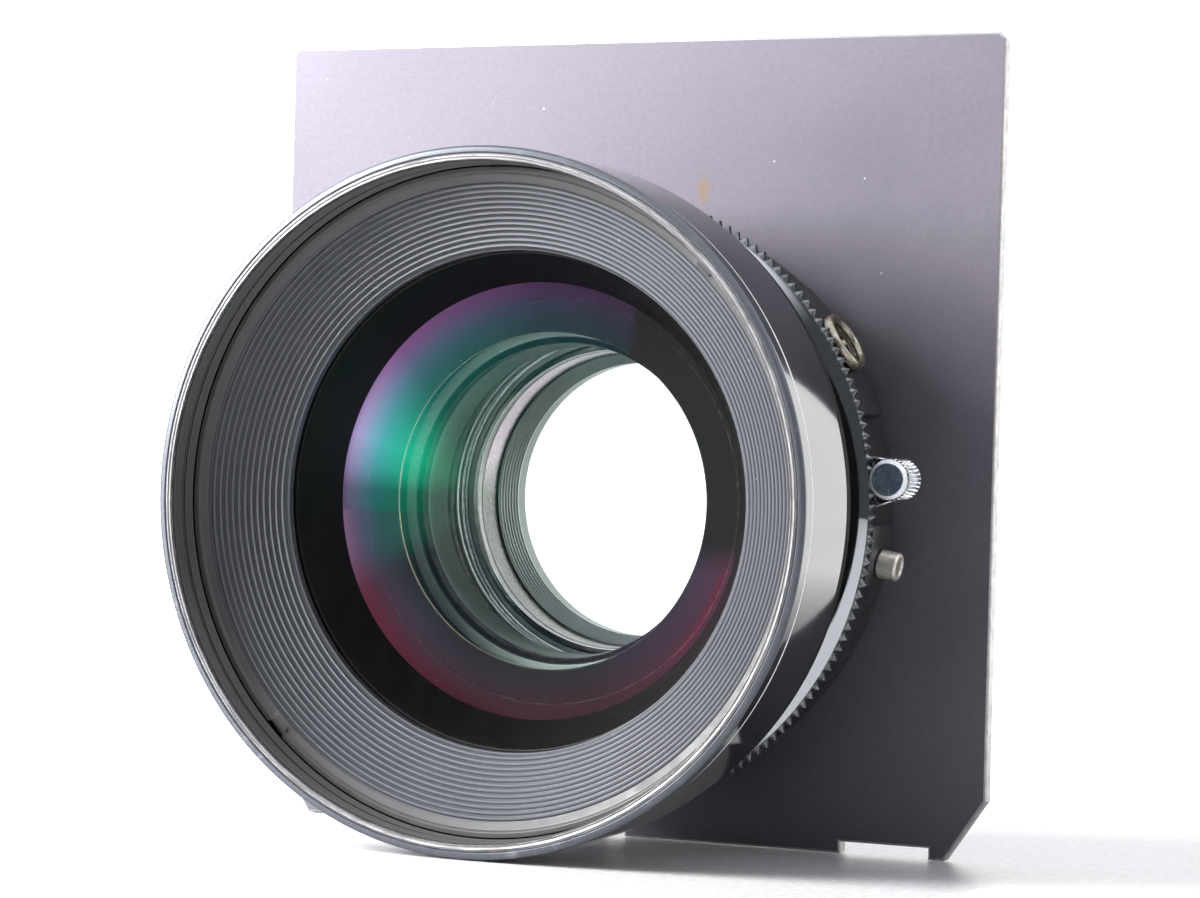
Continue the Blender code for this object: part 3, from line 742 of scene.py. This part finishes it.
def make_flat_pieces(m):
    """Plates whose outlines come straight from the frame, with rounded edges added."""
    rows = [
        ("jam_nut", "lens_body", "satin_black", "satin_black", 0.25),
        ("release_lever", "release", "chrome", "chrome", 0.15),
        ("cocking_lever", "cocking", "chrome", "chrome", 0.15),
        ("press_focus_ring", "press_focus", "blade_steel", "shutter_steel", 0.08),
        ("aperture_ring", "aperture", "blade_steel", "blade_steel", 0.08),
        ("main_spring", "lens_body", "blade_steel", "blade_steel", 0.08),
        ("aperture_scale", "lens_body", "satin_black", "satin_black", 0.1),
        ("pivot_plate", "lens_body", "satin_black", "spacer_sleeve", 0.08),
    ]
    rows = [(*row, 2, 0.0) for row in rows]
    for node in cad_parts:
        if node.startswith("shutter_blade_"):
            rows.append((node, node, "blade_steel", "shutter_steel", 0.04, 1, 0.08))
        elif node.startswith("iris_blade_"):
            rows.append((node, node, "blade_steel", "blade_steel", 0.04, 1, 0.0))
    for node, body, slot, material, edge, edge_steps, swell in rows:
        low, high = corners(node)
        loops = [finer_arcs(loop) for loop in face_loops(node)]
        item = plate(f"{node}_visual", loops, low.z - swell, high.z + swell, [m[material]], edge, edge_steps)
        settle(item, slot, node, body=body)


def make_front_barrel(m):
    _, tail, front = span("front_barrel")
    bell = span("filter_rim")[0] - 0.1
    baffle_front = span("grooved_baffle")[2]
    tube_front = span("front_cover")[2]
    bore = 18.9
    outline = [
        "soft_silver", (bell - 0.25, front), "lacquer", (bell, front - 0.25), Curve((bell, 30.3)),
        "matte_black", Curve((bell, 30.1)), Curve((bell - 0.03, 29.9)), (39.6, 27.4), (30.0, 22.0),
        (28.5, 21.0),
        (28.5, tube_front + 0.3), (19.9, tube_front + 0.3), (19.9, tail), (bore, tail),
        "ridged_sleeve", (bore, tail + 0.9), *ridges((bore, tail + 0.95), (bore, 15.8), 7, 0.22),
        "matte_black", (bore, 15.9), (bore, 17.6), "inner_sleeve", (19.5, 17.6),
        "light_band", (19.6, 17.9), (20.9, 18.1), "inner_sleeve", (21.0, 17.6),
        "matte_black", (24.0, 17.6), (24.0, 22.2), (27.2, 22.2), (27.2, 27.2), (30.0, 27.2), (30.0, 31.4),
        (37.9, 31.4), (37.9, baffle_front), (38.5, baffle_front),
        "thread_black", *ridges((38.5, baffle_front + 0.9), (38.5, front - 0.3), 4, 0.18),
        (38.5, front),
    ]
    settle(lathe("bell", outline, m), "gloss_black", "front_barrel")


def make_rim(m):
    """Filter rim: lacquered side, a satin rounded front edge, a fine groove, a lip with two crests and the
    thread inside.
    """
    radius, back, front = span("filter_rim")
    bore = 38.5
    outline = [
        "lacquer", (radius - 0.15, back - 0.1), Curve((radius, back + 0.05)), Curve((radius, front - 0.9)),
        "rim", *arc_points((radius - 0.45, front - 0.65), 0.45, 0, 80, 6), (radius - 0.78, front - 0.17),
        "lip", (radius - 0.85, front - 0.34), (radius - 0.98, front - 0.16), (radius - 1.2, front),
        (radius - 1.38, front - 0.14), (radius - 1.52, front - 0.12), (radius - 1.62, front - 0.04),
        (bore, front - 0.25),
        "thread_black", (bore, front - 0.5), *ridges((bore, front - 0.6), (bore, back + 0.1), 4, -0.18),
        (bore, back - 0.2),
    ]
    settle(lathe("rim", outline, m), "satin_grey", "filter_rim")


def make_baffle(m):
    radius, back, front = span("grooved_baffle")
    mouth, throat, throat_level = 36.5, 29.06, 32.8
    outline = [
        (radius, back), (radius, front), (mouth + 0.1, front),
        *ridges((mouth, front - 0.05), (throat + 0.35, throat_level + 0.3), 12, -0.34),
        (throat, throat_level), (throat, back),
    ]
    settle(lathe("baffle", outline, m["baffle_grey"]), "baffle_grey", "grooved_baffle")


def make_baffle_retainer(m):
    """Retaining ring with two spanner slots, cut by leaving its crest low over their angles."""
    radius, back, front = span("baffle_retainer")
    mouth = 36.5
    slots = [math.radians(a) / math.tau % 1.0 for a in (226.0, 46.0)]

    def notch(level, r, turn):
        cut = slot_distance(turn, slots) < 0.0055 and r > mouth + 0.6 and level > back + 0.3
        return 0.45 if cut else 0.0

    outline = [(radius, back), (radius, front), (mouth + 1.1, front), (mouth + 0.8, front - 0.3),
               (mouth, front - 0.55), (mouth, back)]
    item = lathe("spanner_ring", outline, m["dull_black"], steps=720, edge=0.08, wave=notch)
    settle(item, "matte_black", "baffle_retainer")


def make_front_retainer(m):
    outline = [(29.6, 27.5), (29.6, 31.3), (28.8, 31.3), (25.7, 25.4), (26.9, 25.4), (26.9, 27.5)]
    settle(lathe("front_glass_ring", outline, m["deep_black"], edge=0.1), "matte_black", "front_retainer")


def make_glass(m):
    """Lens elements: clear coated faces with a ground and painted side between them."""
    def element(name, front_glass, side, radius, back_edge, back_apex, front_edge, front_apex, *nodes):
        front_face = dome(radius, front_edge, front_apex)
        back_face = dome(radius, back_edge, back_apex)[::-1]
        outline = ["front", *front_face, "back", *back_face[:-1], "side", back_face[-1]]
        item = lathe(name, outline, {"front": m[front_glass], "back": m["glass"], "side": m[side]}, MEDIUM)
        settle(item, "coated_glass", *nodes)

    radius, back, front = span("front_element")
    element("front_glass", "front_glass", "deep_black", radius, back, 23.5, 24.6, front, "front_element")
    radius, _, front = span("pair_crown")
    back = span("pair_flint")[1]
    element("cemented_glass", "glass", "deep_black", radius + 0.26, back, back + 0.5, front - 0.4, front,
            "pair_crown", "pair_flint")
    radius, back, front = span("rear_inner_element")
    element("rear_inner_glass", "glass", "ground_side", radius + 0.26, back, back + 0.6, front, front - 0.6,
            "rear_inner_element")
    radius, back, front = span("rear_outer_element")
    element("rear_outer_glass", "glass", "deep_black", radius, back, back + 0.6, front - 0.4, front,
            "rear_outer_element")


def make_pair_retainer(m):
    radius, back, front = span("pair_retainer")
    bore = 20.0
    outer = radius + 0.26
    outline = ["matte_black", (outer, back), (outer, front), (bore + 0.12, front),
               "brass_ring", (bore, front - 0.1), (bore, back)]
    settle(lathe("golden_ring", outline, m, edge=0.05), "brass_ring", "pair_retainer")


def make_rear_cell(m):
    radius, back, front = span("rear_barrel")
    neck = 19.1
    knurl_front = -9.0

    def knurl(level, r, turn):
        if r < radius - 0.1 or not back + 0.9 < level < knurl_front - 0.3:
            return 0.0
        return 0.22 * (0.5 - 0.5 * math.cos(math.tau * turn * 120))

    outline = [
        "satin_black", (neck, front), (neck, -8.6), (radius, -8.6), *[Curve((radius, level)) for level in (
            -8.9, -9.3, -9.4, -11.9, -12.0, -12.4)], (radius, back), (21.5, back), (21.5, -9.3), (18.5, -9.3),
        "pale_sleeve", (18.5, front - 1.5), "chrome", (18.62, front - 0.5), (18.7, front - 0.45),
    ]
    item = lathe("rear_cell", outline, m, steps=960, edge=0.1, wave=knurl)
    settle(item, "satin_black", "rear_barrel")
    radius, back, front = span("rear_spacer")
    bore = 17.3
    outline = ["spacer_sleeve", (radius, back), (radius, front + 0.22),
               *ridges((radius - 0.03, front + 0.2), (bore, -6.8), 7, -0.12),
               "ridged_sleeve", (bore, -6.9), (bore, back)]
    item = lathe("rear_spacer_visual", outline, m, edge=0.05)
    settle(item, "satin_black", "rear_spacer")
    radius, back, front = span("rear_retainer")
    bore = 19.3

    def notch(level, r, turn):
        cut = slot_distance(turn, (0.0, 0.5)) < 0.012 and r < bore + 0.3 and level < front - 0.3
        return -0.9 if cut else 0.0

    outline = [(radius, back), (radius, front), (bore, front), (bore, back)]
    item = lathe("rear_glass_ring", outline, m["matte_black"], steps=360, edge=0.08, wave=notch)
    settle(item, "matte_black", "rear_retainer")


def make_speed_ring(m):
    """Ring with V teeth round its edge and a smooth face that slopes back towards them."""
    tip, back, front = span("speed_ring")
    teeth, depth = 176, 0.72
    bore = 24.1
    root = tip - depth

    def tooth(level, r, turn):
        if r < root + 0.1:
            return 0.0
        phase = turn * teeth % 1.0
        return depth * min(1.0, abs(phase - 0.5) * 2.2)

    outline = [
        "tooth_steel", (tip, back), (tip, front - 1.45), Curve((root, front - 1.15)),
        "polished_ring", Curve((root - 0.12, front - 1.12)),
        Curve((root - 0.5, front - 1.01)), (33.6, front), (31.4, front), (31.2, front - 0.25),
        (bore, front - 0.25), (bore, back), (30.0, back), Curve((root - 0.12, back)), "tooth_steel",
        Curve((root, back)),
    ]
    item = lathe("speed_ring_visual", outline, m, steps=teeth * 6, edge=0.08, wave=tooth)
    settle(item, "gloss_black", "speed_ring", body="speed_ring")


def make_shutter_front(m):
    radius, back, front = span("front_cover")
    outline = [(radius, back + 0.6), (radius, back), (20.2, back), (20.2, front), (21.4, front),
               (21.4, back + 0.6)]
    settle(lathe("shutter_cover", outline, m["satin_black"]), "satin_black", "front_cover")
    radius, back, front = span("index_ring")
    outline = [(radius, front), (radius, front - 1.0), (23.8, front - 1.0), (23.8, back), (21.7, back),
               (21.7, front)]
    settle(lathe("index_ring_visual", outline, m["lacquer"]), "gloss_black", "index_ring")


def make_case(m):
    """Shutter case: turned shell with the two socket blocks joined on and the holes and slots cut."""
    case_radius, bore, floor, neck, neck_bore = 35.6, 34.2, 2.3, 20.7, 19.4
    _, back, front = span("shutter_case")
    outline = ["satin_black", (case_radius, front), (case_radius, 0.3), (neck, 0.3),
               *ridges((neck, -0.2), (neck, back + 0.3), 16, -0.14, steps=4), (neck, back), (neck_bore, back),
               "spacer_sleeve", (neck_bore, floor), "satin_black", (21.5, floor), (bore, floor),
               (bore, front)]
    case = lathe("case", outline, m, steps=192)
    sync_angle, cable_angle = direction("sync_shell"), direction("cable_socket")
    aperture_angle, press_angle = lever_angle("aperture_ring"), lever_angle("press_focus_ring")
    sync_level, cable_level = centre("sync_shell").z, centre("cable_socket").z

    def sector(start, end, inner, outer, low, high, edge=0.02, edge_steps=1):
        steps = 12
        loop = [polar(outer, start + (end - start) * s / steps) for s in range(steps + 1)]
        loop += [polar(inner, end + (start - end) * s / steps) for s in range(steps + 1)]
        return plate("tool", [loop], low, high, [m["satin_black"]], edge, edge_steps)

    def hole(angle, level, radius):
        return lathe("tool", [(0, 30), (radius, 30), (radius, 40), (0, 40)], m["satin_black"], SMALL, 0.0,
                     placing=radial(angle, level))

    tools = [
        ("UNION", sector(sync_angle - 14, sync_angle + 14, 34.6, 36.6, 3.2, front - 0.1, 0.3, 2)),
        ("UNION", sector(cable_angle - 4.0, cable_angle + 7.0, 34.6, 37.0, 4.0, front - 0.1, 0.3, 2)),
        ("DIFFERENCE", hole(sync_angle, sync_level, 2.5)),
        ("DIFFERENCE", hole(cable_angle, cable_level, 1.3)),
        ("DIFFERENCE", sector(aperture_angle - 5, aperture_angle + 46, 33.2, 36.6, 8.45, 9.75)),
        ("DIFFERENCE", sector(press_angle - 25, press_angle + 5, 33.2, 36.6, 2.45, 3.45)),
    ]
    for operation, tool in tools:
        modifier = case.modifiers.new("step", "BOOLEAN")
        modifier.operation = operation
        modifier.solver = "EXACT"
        modifier.object = tool
    bpy.context.view_layer.update()
    graph = bpy.context.evaluated_depsgraph_get()
    result = bpy.data.meshes.new_from_object(case.evaluated_get(graph))
    case.modifiers.clear()
    case.data = result
    for _, tool in tools:
        bpy.data.objects.remove(tool)
    result.shade_smooth()
    result.set_sharp_from_angle(angle=math.radians(30))
    settle(case, "satin_black", "shutter_case")


def lever_angle(node):
    """Angle of the arm that leaves a driving ring: its farthest point."""
    far = max(face_loops(node)[0], key=lambda point: math.hypot(*point))
    return math.degrees(math.atan2(far[1], far[0]))


def make_knob(m, name):
    middle = centre(f"{name}_knob")
    low, high = corners(f"{name}_knob")
    radius, back, front = (high.x - low.x) / 2, low.z, high.z
    seat = corners(f"{name}_lever")[1].z + 0.15
    ribs = 34

    def knurl(level, r, turn):
        if r < radius - 0.1 or not seat + 0.5 < level < front - 0.4:
            return 0.0
        return 0.26 * abs(math.sin(math.pi * turn * ribs))

    outline = [
        "knob_face", Curve((0.0, front)), "soft_silver", (radius - 0.62, front),
        "knurl_chrome", (radius - 0.22, front - 0.3), *[Curve((radius, level)) for level in (
            front - 0.55, front - 1.5, seat + 1.1, seat + 0.45)],
        (radius - 0.5, seat), (1.0, seat), (1.0, back), Curve((0.0, back)),
    ]
    item = lathe(f"{name}_knob_visual", outline, m, steps=ribs * 6, edge=0.08, wave=knurl,
                 placing=Matrix.Translation((middle.x * MM, middle.y * MM, 0)), smooth_angle=30.0)
    settle(item, "chrome", f"{name}_knob", body=name)


def make_sockets(m):
    """Flash sync socket and cable-release socket, each with what stands inside it."""
    def fitting(node, slot, finishes, outline, steps, edge, body="lens_body"):
        item = lathe(f"{node}_visual", outline, finishes, steps, edge, placing=placing)
        settle(item, slot, node, body=body)

    angle = direction("sync_shell")
    placing = radial(angle, centre("sync_shell").z)
    crest = reach("sync_shell", angle)
    base = crest - 1.1
    fitting("sync_shell", "warm_nickel", m, [
        "warm_nickel", (3.7, base), (3.7, base + 0.45), Curve((3.62, crest - 0.35)),
        # painted shade: the inside of the sync socket's cup takes darker nickel
        *arc_points((3.2, crest - 0.42), 0.42, 20, 160, 7), "dark_nickel", Curve((2.72, crest - 0.6)),
        (2.7, base + 0.15), (1.75, base + 0.15), (1.75, 34.6), (2.2, 34.6), "warm_nickel", (2.2, base)],
        SMALL, 0.08)
    fitting("sync_insulator", "insulator_white", m["plastic"],
            [(1.45, 34.6), (1.45, 36.5), (0.85, 36.5), (0.85, 34.6)], SMALL, 0.06)
    fitting("sync_pin", "warm_nickel", m["warm_nickel"],
            [(0.0, 34.6), (0.55, 34.6), (0.55, 37.1), *arc_points((0.0, 37.0), 0.5, 30, 90, 5)[:-1],
             Curve((0.0, 37.5))], 32, 0.04)
    placing = radial(direction("cable_socket"), centre("cable_socket").z)
    fitting("cable_socket", "warm_nickel", m["pale_nickel"],
            [(1.2, 34.6), (1.2, 37.1), (1.7, 37.2), (1.7, 39.3), (1.5, 39.5), (1.15, 39.5), (1.05, 39.35),
             (1.05, 34.6)], SMALL, 0.06)
    fitting("cable_plunger", "blade_steel", m["blade_steel"],
            [(0.0, 34.4), (0.75, 34.4), (0.75, 38.2), (0.6, 38.4), (0.0, 38.4)], 32, 0.05, "plunger")


# ---- stage

def make_camera():
    """Camera at the photo's place and angle."""
    camera = bpy.data.cameras.new("camera")
    camera.sensor_width = 36.0
    camera.lens = 100.3
    camera.clip_start = 0.01
    azimuth, elevation, roll = 23.408, 0.218, 1.5527
    matrix = Matrix.Translation((0.162764, -0.367555, 0.049648))
    for degrees, axis in ((azimuth, "Z"), (90 - elevation, "X"), (roll, "Z")):
        matrix = matrix @ Matrix.Rotation(math.radians(degrees), 4, axis)
    bpy.context.scene.camera = add_object("camera", camera, matrix)


def make_floor():
    """Pale speckled table. The lens leans on its rim, so the table rises towards the front."""
    lean = math.atan2(RIM_LOW.z, FACE_Y - RIM_LOW.y)
    side, near = 2.5, -0.55
    mesh = bpy.data.meshes.new("floor")
    square = [(-side, near, 0), (side, near, 0), (side, side, 0), (-side, side, 0)]
    mesh.from_pydata(square, [], [(0, 1, 2, 3)])
    matrix = Matrix.Translation((0, FACE_Y, -0.0001)) @ Matrix.Rotation(-lean, 4, "X")
    item = add_object("floor", mesh, matrix)
    material, where = new_material("floor")
    grain = noise(where, 900.0, 5.0, 0.7)
    colour = blend(between(grain, 0.4, 0.62), (0.70, 0.705, 0.71), (0.86, 0.865, 0.87))
    colour = blend(specks(where, 330.0, 0.35), colour, (0.97, 0.97, 0.97))
    finished(material, colour, 0.4, 0.0, bump(grain, 0.3, 0.0001), specular=0.4)
    nodes = where.tree.nodes
    white = add(where.tree, "Emission", Color=(1, 1, 1), Strength=2.5)
    far = between(split(where)[1], 0.05, 0.30)
    shown = mix_shaders(far, Value(nodes["Principled BSDF"].outputs[0]), white)
    set_input(nodes["Material Output"].inputs["Surface"], shown)
    mesh.materials.append(material)


def make_world():
    """White backdrop for the camera, and for reflections a bright backdrop behind and a dim room in front."""
    world = bpy.data.worlds.new("studio")
    bpy.context.scene.world = world
    world.use_nodes = True
    tree = world.node_tree
    tree.nodes.clear()

    def background(colour, strength=1.0):
        return add(tree, "Background", Color=colour, Strength=strength)

    x, y, z = split(add(tree, "TexCoord", output="Generated"))
    room = blend(between(y, 0.02, 0.30), (0.10, 0.105, 0.115), (2.6, 2.6, 2.6))
    left_side = between(x, -0.30, -0.62) * between(z, -0.05, 0.02)
    room = blend(left_side, room, (0.85, 0.88, 0.95))
    room = blend(between(z, 0.36, 0.50), room, (1.7, 1.75, 1.85))
    seen, diffuse = [add(tree, "LightPath", output=ray) for ray in (
        "Is Camera Ray", "Is Diffuse Ray")]
    lit = mix_shaders(diffuse, background(room), background((0.30, 0.305, 0.32)))
    shown = mix_shaders(seen, lit, background((1, 1, 1), 1.6))
    set_input(tree.nodes.new("ShaderNodeOutputWorld").inputs["Surface"], shown)


def area_light(name, position, target, size, power):
    light = bpy.data.lights.new(name, "AREA")
    light.shape = "RECTANGLE"
    light.size, light.size_y = size
    light.energy = power
    aim = (Vector(target) - Vector(position)).to_track_quat("-Z", "Y").to_matrix().to_4x4()
    add_object(name, light, Matrix.Translation(position) @ aim)


def build():
    view = bpy.context.scene.view_settings
    view.view_transform = "Standard"
    view.look = "None"
    bpy.context.scene.cycles.transparent_max_bounces = 24
    make_camera()
    make_world()
    area_light("key_softbox", (-0.42, -0.33, 0.27), (-0.02, 0.0, 0.07), (0.34, 0.34), 11.5)
    area_light("side_fill", (0.55, -0.35, 0.25), (0.0, 0.0, 0.04), (0.3, 0.5), 0.5)
    make_floor()

    m = {
        "board": board_material(), "board_edge": board_edge_material(), "lacquer": lacquer_material(),
        "rim": rim_material(), "lip": lip_material(), "polished_ring": polished_ring_material(),
        "plastic": plastic_material(), "ground_side": ground_side_material(),
        "glass": glass_material("coated_glass"),
        # front glass: coating colours added as painted reflections
        "front_glass": glass_material("front_coated_glass", painted_coating_reflections),
    }
    families = {
        black_material: [
            ("satin_black", 0.022, 0.36), ("matte_black", 0.004, 0.6, 0.1, 0.08),
            ("dull_black", 0.045, 0.45, 0.0), ("deep_black", 0.003, 0.42, 0.0, 0.2)],
        # ridge rows: name, painted shade colour of the grooves, colour of the crests
        ridge_shade_material: [
            ("thread_black", (0.014, 0.014, 0.015), (0.07, 0.068, 0.066)),
            ("baffle_grey", (0.036, 0.039, 0.046), (0.172, 0.175, 0.198))],
        plated_material: [
            ("chrome", (0.80, 0.81, 0.84), (0.62, 0.63, 0.66), 0.10),
            ("knurl_chrome", (0.40, 0.41, 0.44), (0.22, 0.23, 0.25), 0.12),
            ("knob_face", (0.60, 0.76, 0.96), (0.34, 0.44, 0.57), 0.20, 0.9),
            ("soft_silver", (0.98, 0.98, 1.0), (0.86, 0.87, 0.90), 0.40, 0.35),
            ("pale_nickel", (0.85, 0.81, 0.74), (0.60, 0.56, 0.50), 0.40, 0.8),
            # darker nickel painted as the shade inside the sync cup
            ("dark_nickel", (0.22, 0.20, 0.17), (0.08, 0.07, 0.06), 0.28),
            ("warm_nickel", (0.42, 0.38, 0.31), (0.24, 0.215, 0.17), 0.30),
            ("tooth_steel", (0.20, 0.21, 0.22), (0.09, 0.095, 0.10), 0.30),
            ("blade_steel", (0.13, 0.13, 0.14), (0.07, 0.07, 0.08), 0.36),
            ("shutter_steel", (0.95, 0.97, 1.0), (0.75, 0.77, 0.80), 0.32),
            ("brass_ring", (0.30, 0.25, 0.17), (0.20, 0.16, 0.10), 0.5)],
        # sleeve rows: tones partly the sleeves' own colour, partly painted sheen
        sleeve_tone_and_sheen_material: [
            ("inner_sleeve", (0.020, 0.030, 0.026), 0.42, 0.3),
            ("ridged_sleeve", (0.20, 0.225, 0.215), 0.38, 0.4),
            ("light_band", (0.14, 0.17, 0.16), 0.45, 0.3),
            ("spacer_sleeve", (0.34, 0.36, 0.355), 0.38, 0.6),
            ("pale_sleeve", (0.30, 0.285, 0.285), 0.30, 0.7)],
    }
    for maker, rows in families.items():
        for name, *values in rows:
            m[name] = maker(name, *values)
    make_board(m)
    make_flat_pieces(m)
    make_front_barrel(m)
    make_rim(m)
    make_baffle(m)
    make_baffle_retainer(m)
    make_front_retainer(m)
    make_glass(m)
    make_pair_retainer(m)
    make_rear_cell(m)
    make_speed_ring(m)
    make_shutter_front(m)
    make_case(m)
    make_knob(m, "release")
    make_knob(m, "cocking")
    make_sockets(m)
    for number in (1, 2, 3):
        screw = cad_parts[f"cover_screw_{number}"]
        screw.data.materials.clear()
        screw.data.materials.append(m["blade_steel"])


build()
